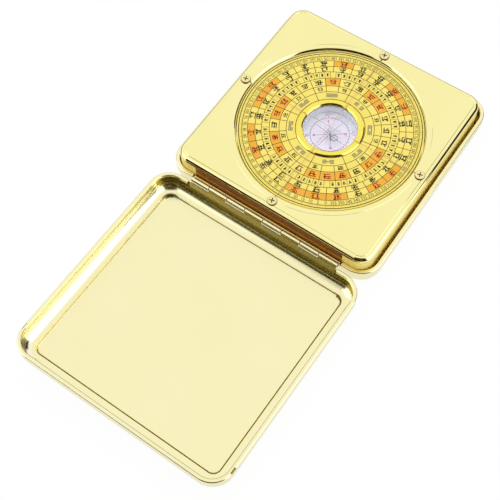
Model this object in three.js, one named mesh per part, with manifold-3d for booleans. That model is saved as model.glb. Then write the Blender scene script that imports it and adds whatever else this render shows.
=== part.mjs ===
// A square folding compass: a pressed metal case of two halves on a barrel hinge, a gold
// plate that stands in the tray, a printed dial that turns in the plate, and a magnetic
// needle under glass at the middle of the dial. Two crossed threads mark the bearing.
//
// Millimetres, +Z up. X runs along the hinge and +Y from the hinge to the tray's front.
// The origin is the middle of the tray's underside. The lid stands open, as it is used.

import * as THREE from 'three';
import { mergeVertices } from 'three/addons/utils/BufferGeometryUtils.js';
import Module from 'manifold-3d';

const wasm = await Module();
wasm.setup();

// Case: two pressed shells that close rim to rim. Its width sets the size of all the rest.
const CASE_WIDTH = 86;
const CASE_CORNER = 8;
const SHEET = 0.5;
const TRAY_HEIGHT = 8.5;
const LID_HEIGHT = 8.6;
const EDGE_RADIUS = 4.6;
const LIP_WIDTH = 1.45;
const LIP_HEIGHT = 1.1;
const LIP_ROUND = 0.45;
const LIP_INNER_ROUND = 0.2;
const LIP_TAPER = 0.3;
const RIM_GAP = 0.3;

// Lid panel: the middle of the lid is pressed inwards by one step
const PANEL_STEP = 0.5;
const PANEL_BORDER = 0.3;

// Snap dents: a short dent in each side lip of the lid, near its front corners
const DENT_LENGTH = 2.4;
const DENT_WIDTH = 0.6;
const DENT_DEPTH = 0.7;
const DENT_FROM_FRONT = 8.3;

// Hinge: a pinned barrel along the two rear walls, which are cut down between the corners
const HINGE_OFFSET = 0.8;
const OPEN_ANGLE = 177.55;
const BARREL_RADIUS = 0.95;
const BARREL_END = 12;
const KNUCKLES = 8;
const KNUCKLE_GAP = 0.3;
const PIN_RADIUS = 0.35;
const PIN_PLAY = 0.3;
const PIN_STICKS_OUT = 0.15;
const LEAF = 0.45;
const LEAF_HEIGHT = 4.4;
const LEAF_DROP = 0.2;
const WEB_BELOW = 0.75;
const CUT_DEPTH = 0.9;
const CUT_END_GAP = 0.6;

// Plate: the gold square that stands in the tray on four feet, each on a pad of foam tape.
// The margins run from the plate's sides to the outside of the case.
const SIDE_MARGIN = 2.65;
const HINGE_MARGIN = 1.65;
const FRONT_MARGIN = 3.25;
const PLATE_CORNER = 5.35;
const PLATE_RISE = 6.15;
const PLATE_WALL = 2;
const PLATE_SKIN = 1.8;
const PLATE_EDGE = 1.75;
const FOOT_INSET = 8.35;
const FOOT_RADIUS = 3.2;
const TAPE_THICKNESS = 1.5;
const TAPE_SIZE = 8;

// Dial: a printed card on a turning carrier, sunk in the plate's round well
const PLATE_LAND = 6.2;
const OPENING_ROUND = 1.3;
const DIAL_DROP = 1.3;
const DIAL_PLAY = 0.3;
const CARD_THICKNESS = 0.3;
const CARRIER_THICKNESS = 1.5;
const RUN_GAP = 0.35;
const WELL_WALL = 1.5;
const WELL_FLOOR = 1.2;
const HUB_WALL = 1.5;
const HUB_FLOOR = 1;
const HUB_PLAY = 0.4;
const BEARING_WALL = 1.3;
const BEARING_FLOOR = 1.3;

// Capsule: a white cup with the compass card, closed by a glass under a gold bezel
const BEZEL_INNER = 9.9;
const BEZEL_WIDTH = 2.6;
const BEZEL_RISE = 0.65;
const BEZEL_SKIRT = 0.65;
const GLASS_DROP = 0.15;
const GLASS_THICKNESS = 0.8;
const GLASS_LAP = 0.6;
const CUP_WALL = 1.3;
const CUP_FLOOR = 0.6;
const ROSE_DEPTH = 5.9;
const ROSE_THICKNESS = 0.2;

// Needle: a thin blade with a cap that sits on a sharp post
const NEEDLE_LENGTH = 14.4;
const NEEDLE_WIDTH = 0.8;
const NEEDLE_THICKNESS = 0.2;
const NEEDLE_HEIGHT = 2.3;
const NEEDLE_HEADING = -54.3;
const NEEDLE_EYE = 0.35;
const CAP_RADIUS = 0.7;
const CAP_BELOW = 0.3;
const CAP_ABOVE = 0.75;
const CAP_ROOF = 0.4;
const CAP_MOUTH = 0.45;
const POST_RADIUS = 0.45;
const POST_SHOULDER = 1;
const POST_TIP = 0.06;
const POST_PLAY = 0.3;
const LOOP_RADIUS = 1.2;
const LOOP_WIRE = 0.15;
const LOOP_ALONG = 3.3;
const LOOP_ASIDE = 1.35;

// Axle screw under the dial, with its spring washer
const AXLE_RADIUS = 1.1;
const AXLE_HEAD_RADIUS = 2.6;
const AXLE_HEAD_HEIGHT = 1;
const AXLE_PLAY = 0.6;
const WASHER_RADIUS = 3.4;
const WASHER_THICKNESS = 0.35;

// Cross threads and the four screws that hold their ends
const SCREW_INSET = 3.2;
const SCREW_HEAD_RADIUS = 1.85;
const SCREW_HEAD_HEIGHT = 0.55;
const SCREW_RADIUS = 0.8;
const SCREW_LENGTH = 5;
const SCREW_PLAY = 0.2;
const BOSS_WALL = 1.2;
const CROSS_WIDTH = 0.5;
const CROSS_LENGTH = 2.2;
const CROSS_DEPTH = 0.4;
const THREAD_RADIUS = 0.12;
const THREAD_SPACING = 0.34;
const GROOVE_WIDTH = 0.5;
const GROOVE_DEPTH = 0.6;

// Seat: the hair of air that is left between faces that bear on each other
const SEAT = 0.05;

// Steps of the round forms
const CORNER_STEPS = 6;
const ARC_STEPS = 5;
const ROUND_STEPS = 60;
const SMALL_STEPS = 24;
const FINE_STEPS = 16;

// Widths, lengths and places that follow from the sizes above
const plateSize = CASE_WIDTH - 2 * SIDE_MARGIN;
const caseDepth = plateSize + HINGE_MARGIN + FRONT_MARGIN;
const plateShift = (HINGE_MARGIN - FRONT_MARGIN) / 2;
const barrelLength = CASE_WIDTH - 2 * BARREL_END;
const screwSpread = plateSize / 2 - SCREW_INSET;
const footSpread = plateSize / 2 - FOOT_INSET;

// Heights that follow from the sizes above
const rimZ = TRAY_HEIGHT;
const axisZ = rimZ + RIM_GAP / 2;
const axisY = -caseDepth / 2 - HINGE_OFFSET;
const plateTop = rimZ + PLATE_RISE;
const skinMiddle = plateTop - PLATE_SKIN / 2;
const plateBottom = SHEET + TAPE_THICKNESS + 2 * SEAT;
const dialFace = plateTop - DIAL_DROP;
const carrierTop = dialFace - CARD_THICKNESS - SEAT;
const carrierBottom = carrierTop - CARRIER_THICKNESS;
const wellFloorTop = carrierBottom - RUN_GAP;
const wellFloorBottom = wellFloorTop - WELL_FLOOR;
const glassTop = dialFace - GLASS_DROP;
const glassBottom = glassTop - GLASS_THICKNESS;
const cupRim = glassBottom - SEAT;
const roseTop = plateTop - ROSE_DEPTH;
const cupFloorTop = roseTop - ROSE_THICKNESS - SEAT;
const cupBottom = cupFloorTop - CUP_FLOOR;
const hubFloorTop = cupBottom - SEAT;
const hubBottom = hubFloorTop - HUB_FLOOR;
const bearingFloorTop = hubBottom - RUN_GAP;
const bearingBottom = bearingFloorTop - BEARING_FLOOR;
const washerTop = bearingBottom - SEAT;
const axleHeadTop = washerTop - WASHER_THICKNESS - SEAT;
const needleZ = roseTop + NEEDLE_HEIGHT;

// Radii that follow from the sizes above
const openingRadius = plateSize / 2 - PLATE_LAND;
const dialRadius = openingRadius - DIAL_PLAY;
const bezelOuter = BEZEL_INNER + BEZEL_WIDTH;
const glassRadius = BEZEL_INNER + GLASS_LAP;
const skirtInner = glassRadius + SEAT;
const cupOuter = skirtInner + BEZEL_SKIRT;
const cupInner = cupOuter - CUP_WALL;
const hubInner = cupOuter + SEAT;
const hubOuter = hubInner + HUB_WALL;
const bearingInner = hubOuter + HUB_PLAY;
const bearingOuter = bearingInner + BEARING_WALL;
const boreRadius = PIN_RADIUS + PIN_PLAY;
const bossRadius = SCREW_RADIUS + SCREW_PLAY + BOSS_WALL;

// Solid work: geometry to a closed solid and back
function solid(geometry) {
  const plain = geometry.clone();
  plain.deleteAttribute('normal');
  plain.deleteAttribute('uv');
  const merged = mergeVertices(plain, 1e-4);
  const spots = merged.attributes.position.array;
  const index = Array.from(merged.index.array);
  const corner = (k) => new THREE.Vector3().fromArray(spots, 3 * index[k]);
  const triangles = [];
  let volume = 0;
  for (let k = 0; k < index.length; k += 3) {
    const flat = index[k] === index[k + 1] || index[k + 1] === index[k + 2] || index[k] === index[k + 2];
    if (flat) continue;
    volume += corner(k).dot(corner(k + 1).cross(corner(k + 2)));
    triangles.push([index[k], index[k + 1], index[k + 2]]);
  }
  const turned = volume < 0 ? triangles.map(([a, b, c]) => [a, c, b]) : triangles;
  return new wasm.Manifold(new wasm.Mesh({
    numProp: 3,
    vertProperties: new Float32Array(spots),
    triVerts: new Uint32Array(turned.flat()),
  }));
}

function geometryOf(body) {
  const mesh = body.getMesh();
  const geometry = new THREE.BufferGeometry();
  geometry.setAttribute('position', new THREE.BufferAttribute(new Float32Array(mesh.vertProperties), 3));
  geometry.setIndex(new THREE.BufferAttribute(new Uint32Array(mesh.triVerts), 1));
  geometry.computeVertexNormals();
  return geometry;
}

// Basic solids: a block between two corners, a turned form and a cylinder
function block(low, high) {
  const geometry = new THREE.BoxGeometry(high[0] - low[0], high[1] - low[1], high[2] - low[2]);
  geometry.translate((low[0] + high[0]) / 2, (low[1] + high[1]) / 2, (low[2] + high[2]) / 2);
  return solid(geometry);
}

function turned(profile, steps) {
  const points = profile.map(([radius, z]) => new THREE.Vector2(radius, z));
  return solid(new THREE.LatheGeometry(points, steps).rotateX(Math.PI / 2));
}

function ring(inner, outer, bottom, top, steps) {
  return turned([[inner, bottom], [outer, bottom], [outer, top], [inner, top], [inner, bottom]], steps);
}

function rod(radius, bottom, top, steps) {
  return turned([[0, bottom], [radius, bottom], [radius, top], [0, top]], steps);
}

function rodAlongX(radius, start, end, steps) {
  const geometry = new THREE.CylinderGeometry(radius, radius, end - start, steps);
  geometry.rotateZ(Math.PI / 2).translate((start + end) / 2, 0, 0);
  return solid(geometry);
}

// A rounded rectangle as a ring of points, drawn in from its outer edge by an inset
function roundedLoop(width, depth, corner, inset, z) {
  const radius = corner - inset;
  const points = [];
  for (let side = 0; side < 4; side += 1) {
    const signX = side === 0 || side === 3 ? 1 : -1;
    const signY = side < 2 ? 1 : -1;
    for (let step = 0; step <= CORNER_STEPS; step += 1) {
      const angle = (side + step / CORNER_STEPS) * Math.PI / 2;
      const x = signX * (width / 2 - corner) + radius * Math.cos(angle);
      const y = signY * (depth / 2 - corner) + radius * Math.sin(angle);
      points.push(x, y, z);
    }
  }
  return points;
}

// A solid that runs through a list of [inset, z] levels and is closed flat at both ends
function lofted(width, depth, corner, levels) {
  const spots = levels.flatMap(([inset, z]) => roundedLoop(width, depth, corner, inset, z));
  const count = 4 * (CORNER_STEPS + 1);
  const start = levels.length * count;
  spots.push(0, 0, levels[0][1], 0, 0, levels[levels.length - 1][1]);
  const index = [];
  for (let i = 0; i < count; i += 1) {
    const next = (i + 1) % count;
    for (let level = 0; level < levels.length - 1; level += 1) {
      const a = level * count;
      const b = a + count;
      index.push(a + i, a + next, b + next, a + i, b + next, b + i);
    }
    const last = start - count;
    index.push(start, next, i, last + i, last + next, start + 1);
  }
  const geometry = new THREE.BufferGeometry();
  geometry.setAttribute('position', new THREE.BufferAttribute(new Float32Array(spots), 3));
  geometry.setIndex(index);
  return solid(geometry);
}

// Quarter round from one direction to another, as [inset, z] levels
function quarter(centreInset, centreZ, radius, from, steps) {
  return Array.from({ length: steps + 1 }, (_, step) => {
    const angle = THREE.MathUtils.degToRad(from + 90 * step / steps);
    return [centreInset - radius * Math.cos(angle), centreZ + radius * Math.sin(angle)];
  });
}

// One pressed case half: rounded outside, a hemmed lip, the same form drawn in inside.
// The wall's outside is gone round from the floor up, and its inside from the lip down.
function shell(height, step) {
  const panelStart = EDGE_RADIUS + PANEL_BORDER;
  const outerPanel = step > 0 ? [[panelStart + step, step], [panelStart, 0]] : [];
  const innerPanel = step > 0 ? [[panelStart, SHEET], [panelStart + step, SHEET + step]] : [];
  const levels = [
    ...outerPanel,
    ...quarter(EDGE_RADIUS, EDGE_RADIUS, EDGE_RADIUS, -90, ARC_STEPS),
    ...quarter(LIP_ROUND, height - LIP_ROUND, LIP_ROUND, 0, 3),
    ...quarter(LIP_WIDTH - LIP_INNER_ROUND, height - LIP_INNER_ROUND, LIP_INNER_ROUND, 90, 3),
    [LIP_WIDTH, height - LIP_HEIGHT],
    [SHEET, height - LIP_HEIGHT - LIP_TAPER],
    ...quarter(EDGE_RADIUS, EDGE_RADIUS, EDGE_RADIUS - SHEET, -90, ARC_STEPS).reverse(),
    ...innerPanel,
  ];
  return lofted(CASE_WIDTH, caseDepth, CASE_CORNER, levels);
}

// The rear wall is cut down between its corners to let the barrel in. side is 1 where
// the rear wall is the half's -Y side, and -1 where it is the +Y side.
function cutForHinge(body, height, side) {
  const halfCut = barrelLength / 2 + CUT_END_GAP;
  const outside = caseDepth / 2 + LIP_WIDTH;
  const wall = caseDepth / 2 - SHEET;
  const inside = caseDepth / 2 - LIP_WIDTH - SEAT;
  const lipDepth = LIP_HEIGHT + LIP_TAPER + SEAT;
  const notch = (low, high, depth) => {
    const y = side > 0 ? [-high, -low] : [low, high];
    return block([-halfCut, y[0], height - depth], [halfCut, y[1], height + LIP_HEIGHT]);
  };
  return body.subtract(notch(inside, outside, CUT_DEPTH)).subtract(notch(inside, wall, lipDepth));
}

function cutSnapDents(body, height) {
  const middle = -caseDepth / 2 + DENT_FROM_FRONT;
  let left = body;
  for (const sign of [-1, 1]) {
    const outer = sign * (CASE_WIDTH / 2 + DENT_WIDTH);
    const inner = sign * (CASE_WIDTH / 2 - DENT_WIDTH);
    const low = [Math.min(outer, inner), middle - DENT_LENGTH / 2, height - DENT_DEPTH];
    const high = [Math.max(outer, inner), middle + DENT_LENGTH / 2, height + DENT_DEPTH];
    left = left.subtract(block(low, high));
  }
  return left;
}

// Hinge leaf, drawn for the tray with the axis at its origin. Turned half round, the same
// leaf serves the lid, because its knuckles then fill the places left free.
function hingeLeaf() {
  const pitch = barrelLength / KNUCKLES;
  const near = HINGE_OFFSET + SHEET + SEAT;
  const far = near + LEAF;
  let leaf = block([-barrelLength / 2, near, -LEAF_HEIGHT], [barrelLength / 2, far, -LEAF_DROP]);
  for (let k = 0; k < KNUCKLES; k += 2) {
    const start = -barrelLength / 2 + k * pitch + KNUCKLE_GAP / 2;
    const end = start + pitch - KNUCKLE_GAP;
    leaf = leaf.add(rodAlongX(BARREL_RADIUS, start, end, SMALL_STEPS));
    leaf = leaf.add(block([start, 0, -WEB_BELOW], [end, far, -LEAF_DROP]));
  }
  return leaf.subtract(rodAlongX(boreRadius, -barrelLength, barrelLength, SMALL_STEPS));
}

function hingePin() {
  const half = barrelLength / 2 + PIN_STICKS_OUT;
  return rodAlongX(PIN_RADIUS, -half, half, FINE_STEPS);
}

// The gold plate: a square cover with a round well, a bearing cup and four screw bosses
function dialPlate() {
  const skinBottom = plateTop - PLATE_SKIN;
  const cover = lofted(plateSize, plateSize, PLATE_CORNER, [
    [0, plateBottom],
    ...quarter(PLATE_EDGE, plateTop - PLATE_EDGE, PLATE_EDGE, 0, 4),
  ]);
  const hollow = lofted(plateSize, plateSize, PLATE_CORNER, [
    [PLATE_WALL, plateBottom - PLATE_SKIN],
    [PLATE_WALL, skinBottom],
  ]);
  const wellOuter = openingRadius + WELL_WALL;
  const openingEdge = quarter(openingRadius + OPENING_ROUND, plateTop - OPENING_ROUND, OPENING_ROUND, 0, ARC_STEPS);
  const well = turned([
    [0, bearingBottom],
    [bearingOuter, bearingBottom],
    [bearingOuter, wellFloorBottom],
    [wellOuter, wellFloorBottom],
    [wellOuter, skinMiddle],
    [0, skinMiddle],
  ], ROUND_STEPS);
  const room = turned([
    [0, bearingFloorTop],
    [bearingInner, bearingFloorTop],
    [bearingInner, wellFloorTop],
    [openingRadius, wellFloorTop],
    ...openingEdge,
    [openingRadius + OPENING_ROUND, plateTop + PLATE_SKIN],
    [0, plateTop + PLATE_SKIN],
  ], ROUND_STEPS);
  let plate = cover.subtract(hollow).add(well);
  for (const spot of screwSpots()) plate = plate.add(boss(spot));
  for (const [x, y] of footSpots()) plate = plate.add(foot().translate([x, y, 0]));
  plate = plate.subtract(room);
  plate = plate.subtract(rod(AXLE_RADIUS + AXLE_PLAY, bearingBottom - SEAT, bearingFloorTop + SEAT, SMALL_STEPS));
  for (const spot of screwSpots()) plate = plate.subtract(screwHole(spot));
  return plate.subtract(threadGrooves());
}

function screwSpots() {
  return [
    { name: 'left', x: -screwSpread, y: 0 },
    { name: 'right', x: screwSpread, y: 0 },
    { name: 'front', x: 0, y: screwSpread },
    { name: 'hinge_side', x: 0, y: -screwSpread },
  ];
}

function footSpots() {
  return [[-1, -1], [1, -1], [1, 1], [-1, 1]].map(([x, y]) => [x * footSpread, y * footSpread]);
}

function foot() {
  return rod(FOOT_RADIUS, plateBottom, skinMiddle, SMALL_STEPS);
}

function boss({ x, y }) {
  const reach = SCREW_LENGTH + BOSS_WALL;
  return rod(bossRadius, plateTop - reach, skinMiddle, SMALL_STEPS).translate([x, y, 0]);
}

function screwHole({ x, y }) {
  const reach = SCREW_LENGTH + SCREW_PLAY;
  return rod(SCREW_RADIUS + SCREW_PLAY, plateTop - reach, plateTop + SCREW_PLAY, SMALL_STEPS).translate([x, y, 0]);
}

function threadGrooves() {
  const half = GROOVE_WIDTH / 2;
  const bottom = plateTop - GROOVE_DEPTH;
  const top = plateTop + GROOVE_DEPTH;
  const across = block([-screwSpread, -half, bottom], [screwSpread, half, top]);
  const along = block([-half, -screwSpread, bottom], [half, screwSpread, top]);
  return across.add(along);
}

// A pan head screw that stands on the plate, with a cross recess
function threadScrew() {
  const bottom = plateTop + SEAT;
  const top = bottom + SCREW_HEAD_HEIGHT;
  const edge = SCREW_HEAD_HEIGHT / 2;
  const body = turned([
    [0, plateTop - SCREW_LENGTH],
    [SCREW_RADIUS, plateTop - SCREW_LENGTH],
    [SCREW_RADIUS, bottom],
    [SCREW_HEAD_RADIUS, bottom],
    [SCREW_HEAD_RADIUS, bottom + edge],
    [SCREW_HEAD_RADIUS - edge, top - edge / 3],
    [SCREW_HEAD_RADIUS / 2, top],
    [0, top],
  ], SMALL_STEPS);
  const long = CROSS_LENGTH / 2;
  const wide = CROSS_WIDTH / 2;
  const recess = block([-long, -wide, top - CROSS_DEPTH], [long, wide, top + CROSS_DEPTH])
    .add(block([-wide, -long, top - CROSS_DEPTH], [wide, long, top + CROSS_DEPTH]));
  return body.subtract(recess);
}

// A straight thread between two screws, ending under the heads beside the shanks
function thread(height) {
  const half = screwSpread - SCREW_RADIUS - SCREW_PLAY;
  return rodAlongX(THREAD_RADIUS, -half, half, 8).translate([0, 0, height]);
}

function tapePad() {
  const half = TAPE_SIZE / 2;
  const bottom = SHEET + SEAT;
  return block([-half, -half, bottom], [half, half, bottom + TAPE_THICKNESS]);
}

// Dial carrier: the turning disc with the hub that holds the capsule and takes the axle screw
function dialCarrier() {
  return turned([
    [AXLE_RADIUS + SEAT, hubBottom],
    [hubOuter, hubBottom],
    [hubOuter, carrierBottom],
    [dialRadius, carrierBottom],
    [dialRadius, carrierTop],
    [hubInner, carrierTop],
    [hubInner, hubFloorTop],
    [AXLE_RADIUS + SEAT, hubFloorTop],
    [AXLE_RADIUS + SEAT, hubBottom],
  ], ROUND_STEPS);
}

function dialCard() {
  return ring(hubInner, dialRadius, carrierTop + SEAT, dialFace, ROUND_STEPS);
}

function capsuleBezel() {
  const seatZ = dialFace + SEAT;
  const crestZ = dialFace + BEZEL_RISE;
  const lipZ = glassTop + SEAT;
  const crown = Array.from({ length: ARC_STEPS * 2 + 1 }, (_, step) => {
    const angle = Math.PI * step / (ARC_STEPS * 2);
    const radius = BEZEL_INNER + BEZEL_WIDTH / 2 * (1 + Math.cos(angle));
    return [radius, seatZ + (crestZ - seatZ) * Math.sin(angle)];
  });
  return turned([
    [BEZEL_INNER, lipZ],
    [skirtInner, lipZ],
    [skirtInner, cupRim + SEAT],
    [cupOuter, cupRim + SEAT],
    [cupOuter, seatZ],
    ...crown,
    [BEZEL_INNER, lipZ],
  ], ROUND_STEPS);
}

function capsuleCup() {
  return turned([
    [0, cupBottom],
    [cupOuter, cupBottom],
    [cupOuter, cupRim],
    [cupInner, cupRim],
    [cupInner, cupFloorTop],
    [0, cupFloorTop],
  ], ROUND_STEPS);
}

function compassRose() {
  return ring(POST_RADIUS + POST_PLAY, cupInner - SEAT, roseTop - ROSE_THICKNESS, roseTop, ROUND_STEPS / 2);
}

function capsuleGlass() {
  return rod(glassRadius, glassBottom, glassTop, ROUND_STEPS);
}

function pivotPost() {
  const tipZ = needleZ + CAP_ABOVE - CAP_ROOF - POST_PLAY;
  return turned([
    [0, cupFloorTop + SEAT],
    [POST_RADIUS, cupFloorTop + SEAT],
    [POST_RADIUS, roseTop + POST_SHOULDER],
    [POST_TIP, tipZ],
    [0, tipZ],
  ], FINE_STEPS);
}

function needleBlade() {
  const half = NEEDLE_LENGTH / 2;
  const wide = NEEDLE_WIDTH / 2;
  const outline = new THREE.Shape([
    new THREE.Vector2(half, 0),
    new THREE.Vector2(0, wide),
    new THREE.Vector2(-half, 0),
    new THREE.Vector2(0, -wide),
  ]);
  const settings = { depth: NEEDLE_THICKNESS, bevelEnabled: false };
  const blade = solid(new THREE.ExtrudeGeometry(outline, settings).translate(0, 0, needleZ));
  const eye = rod(CAP_RADIUS + SEAT + NEEDLE_EYE, needleZ, needleZ + NEEDLE_THICKNESS, FINE_STEPS);
  const hole = rod(CAP_RADIUS + SEAT, needleZ - SEAT, needleZ + NEEDLE_THICKNESS + SEAT, FINE_STEPS);
  return blade.add(eye).subtract(hole);
}

function needleCap() {
  return turned([
    [CAP_MOUTH, needleZ - CAP_BELOW],
    [CAP_RADIUS, needleZ - CAP_BELOW],
    [CAP_RADIUS, needleZ + NEEDLE_THICKNESS],
    [CAP_RADIUS / 2, needleZ + CAP_ABOVE],
    [0, needleZ + CAP_ABOVE],
    [0, needleZ + CAP_ABOVE - CAP_ROOF],
    [CAP_MOUTH, needleZ - CAP_BELOW],
  ], FINE_STEPS);
}

function needleLoop() {
  const height = needleZ + NEEDLE_THICKNESS + SEAT + LOOP_WIRE;
  const wire = new THREE.TorusGeometry(LOOP_RADIUS, LOOP_WIRE, 6, FINE_STEPS);
  return solid(wire.translate(LOOP_ALONG, LOOP_ASIDE, height));
}

function axleScrew() {
  const bottom = axleHeadTop - AXLE_HEAD_HEIGHT;
  const body = turned([
    [0, bottom],
    [AXLE_HEAD_RADIUS, bottom],
    [AXLE_HEAD_RADIUS, axleHeadTop],
    [AXLE_RADIUS, axleHeadTop],
    [AXLE_RADIUS, hubFloorTop],
    [0, hubFloorTop],
  ], SMALL_STEPS);
  const long = CROSS_LENGTH / 2;
  const wide = CROSS_WIDTH / 2;
  const recess = block([-long, -wide, bottom - CROSS_DEPTH], [long, wide, bottom + CROSS_DEPTH])
    .add(block([-wide, -long, bottom - CROSS_DEPTH], [wide, long, bottom + CROSS_DEPTH]));
  return body.subtract(recess);
}

function springWasher() {
  return ring(AXLE_RADIUS + SEAT, WASHER_RADIUS, washerTop - WASHER_THICKNESS, washerTop, SMALL_STEPS);
}

// Materials
function finish(color, roughness, metalness) {
  return new THREE.MeshStandardMaterial({ color, roughness, metalness });
}

const caseMetal = () => finish(0xeadfa6, 0.28, 1);
const goldPlate = () => finish(0xf2d774, 0.12, 1);
const steel = () => finish(0xc9c3b2, 0.3, 1);
const whitePlastic = () => finish(0xeeeaf6, 0.5, 0);

function piece(name, body, material) {
  const mesh = new THREE.Mesh(geometryOf(body), material);
  mesh.name = name;
  return mesh;
}

// Assembly
const tray = new THREE.Group();
tray.add(piece('base_tray', cutForHinge(shell(TRAY_HEIGHT, 0), TRAY_HEIGHT, 1), caseMetal()));

const hinge = new THREE.Group();
hinge.position.set(0, axisY, axisZ);
hinge.add(piece('base_hinge_leaf', hingeLeaf(), caseMetal()));
hinge.add(piece('hinge_pin', hingePin(), steel()));

const lid = new THREE.Group();
lid.rotation.x = THREE.MathUtils.degToRad(OPEN_ANGLE - 180);
const lidShell = cutSnapDents(cutForHinge(shell(LID_HEIGHT, PANEL_STEP), LID_HEIGHT, -1), LID_HEIGHT);
const lidMesh = piece('lid_shell', lidShell, caseMetal());
lidMesh.position.set(0, -HINGE_OFFSET - caseDepth / 2, -RIM_GAP / 2 - LID_HEIGHT);
const lidLeaf = piece('lid_hinge_leaf', hingeLeaf(), caseMetal());
lidLeaf.rotation.z = Math.PI;
lid.add(lidMesh, lidLeaf);
hinge.add(lid);

const insert = new THREE.Group();
insert.position.y = plateShift;
insert.add(piece('dial_plate', dialPlate(), goldPlate()));
for (const { name, x, y } of screwSpots()) {
  const screw = piece(`thread_screw_${name}`, threadScrew(), steel());
  screw.position.set(x, y, 0);
  insert.add(screw);
}
const lowThread = plateTop - GROOVE_DEPTH + THREAD_RADIUS + SEAT;
insert.add(piece('cross_thread_across', thread(lowThread), finish(0xb98a5a, 0.4, 0)));
const alongThread = piece('cross_thread_along', thread(lowThread + THREAD_SPACING), finish(0xb98a5a, 0.4, 0));
alongThread.rotation.z = Math.PI / 2;
insert.add(alongThread);
footSpots().forEach(([x, y], k) => {
  const pad = piece(`foam_pad_${k + 1}`, tapePad(), finish(0x2b2b2b, 0.9, 0));
  pad.position.set(x, y, 0);
  insert.add(pad);
});

const dial = new THREE.Group();
dial.add(piece('dial_carrier', dialCarrier(), finish(0x2f2a22, 0.6, 0)));
dial.add(piece('dial_card', dialCard(), finish(0xf6e65c, 0.35, 0)));
dial.add(piece('capsule_bezel', capsuleBezel(), goldPlate()));
dial.add(piece('capsule_cup', capsuleCup(), whitePlastic()));
dial.add(piece('compass_rose', compassRose(), whitePlastic()));
dial.add(piece('capsule_glass', capsuleGlass(), finish(0xf2f6f8, 0.05, 0)));
dial.add(piece('pivot_post', pivotPost(), steel()));
dial.add(piece('axle_screw', axleScrew(), steel()));
dial.add(piece('spring_washer', springWasher(), steel()));

const needle = new THREE.Group();
needle.rotation.z = THREE.MathUtils.degToRad(NEEDLE_HEADING);
needle.add(piece('needle_blade', needleBlade(), finish(0x232838, 0.35, 1)));
needle.add(piece('needle_cap', needleCap(), finish(0xd9b45a, 0.25, 1)));
needle.add(piece('needle_loop', needleLoop(), steel()));
dial.add(needle);
insert.add(dial);

const compass = new THREE.Group();
compass.add(tray, hinge, insert);
export default compass;
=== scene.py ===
import math
import random

import bpy
from mathutils import Matrix, Vector


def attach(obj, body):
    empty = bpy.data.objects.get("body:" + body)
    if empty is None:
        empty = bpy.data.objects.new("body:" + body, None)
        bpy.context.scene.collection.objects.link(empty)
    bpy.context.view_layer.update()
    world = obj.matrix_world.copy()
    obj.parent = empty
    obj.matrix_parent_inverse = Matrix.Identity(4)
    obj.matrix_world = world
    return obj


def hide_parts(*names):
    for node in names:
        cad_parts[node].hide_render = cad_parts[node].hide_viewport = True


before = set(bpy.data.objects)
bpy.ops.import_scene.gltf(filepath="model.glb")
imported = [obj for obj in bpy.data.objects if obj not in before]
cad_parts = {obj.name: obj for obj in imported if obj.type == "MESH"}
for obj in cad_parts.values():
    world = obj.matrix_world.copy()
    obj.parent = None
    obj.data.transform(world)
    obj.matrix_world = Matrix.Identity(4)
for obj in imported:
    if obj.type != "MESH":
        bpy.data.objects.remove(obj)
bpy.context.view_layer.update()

# Sizes in millimetres, the same as in the CAD model. The origin is the middle of the tray's
# underside, X runs along the hinge and +Y from the hinge to the tray's front.
MM = 0.001

# Case
CASE_WIDTH = 86.0
CASE_DEPTH = 85.6
CASE_CORNER = 8.0
SHEET = 0.5
TRAY_HEIGHT = 8.5
LID_HEIGHT = 8.6
EDGE_RADIUS = 4.6
LIP_WIDTH = 1.45
LIP_HEIGHT = 1.1
LIP_ROUND = 0.45
LIP_INNER_ROUND = 0.2
LIP_TAPER = 0.3
PANEL_STEP = 0.5
PANEL_BORDER = 0.3
DENT_LENGTH = 2.4
DENT_DEPTH = 0.6
DENT_Y = -CASE_DEPTH / 2 + 8.3

# Hinge
CUT_DEPTH = 0.9
CUT_END_GAP = 0.6
BARREL_LENGTH = 62.0
BARREL_RADIUS = 0.95
KNUCKLES = 8
KNUCKLE_GAP = 0.3
PIN_BORE = 0.65
LEAF_THICKNESS = 0.45
LEAF_BOTTOM = -4.4
LEAF_TOP = -0.2
LEAF_ROUND = 0.2
HINGE_OFFSET = 0.8
HALF_SEAM = 0.15
OPEN_TILT = -2.45
AXIS = (0.0, -CASE_DEPTH / 2 - HINGE_OFFSET, TRAY_HEIGHT + HALF_SEAM)

# Plate
PLATE_SIZE = 80.7
PLATE_CORNER = 5.35
PLATE_TOP = 14.65
PLATE_BOTTOM = 2.1
PLATE_EDGE = 1.75
PLATE_CENTRE = (0.0, -0.8, 0.0)
PLATE_WALL = 2.0
PLATE_UNDERSIDE = PLATE_TOP - 1.8
# Top of the painted light on the plate's hinge-side wall, where a seam splits the faces
PAINTED_LIGHT_TOP = 10.0
OPENING_RADIUS = 34.15
OPENING_ROUND = 1.3
RING_LINE_RADIUS = 36.55
WELL_OUTER = 35.65
WELL_BOTTOM = 9.95
WELL_FLOOR = 11.15
HUB_WELL_OUTER = 14.55
HUB_WELL_INNER = 13.25
HUB_WELL_BOTTOM = 5.1
HUB_WELL_FLOOR = 6.4
INSIDE_TOP = 13.75
FOOT_RADIUS = 3.2
FOOT_SPREAD = 32.0
BOSS_RADIUS = 2.2
BOSS_BOTTOM = 8.45
SCREW_HOLE_RADIUS = 1.0
AXLE_HOLE_RADIUS = 1.7
GROOVE_HALF_WIDTH = 0.25
GROOVE_DEPTH = 0.6

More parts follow.
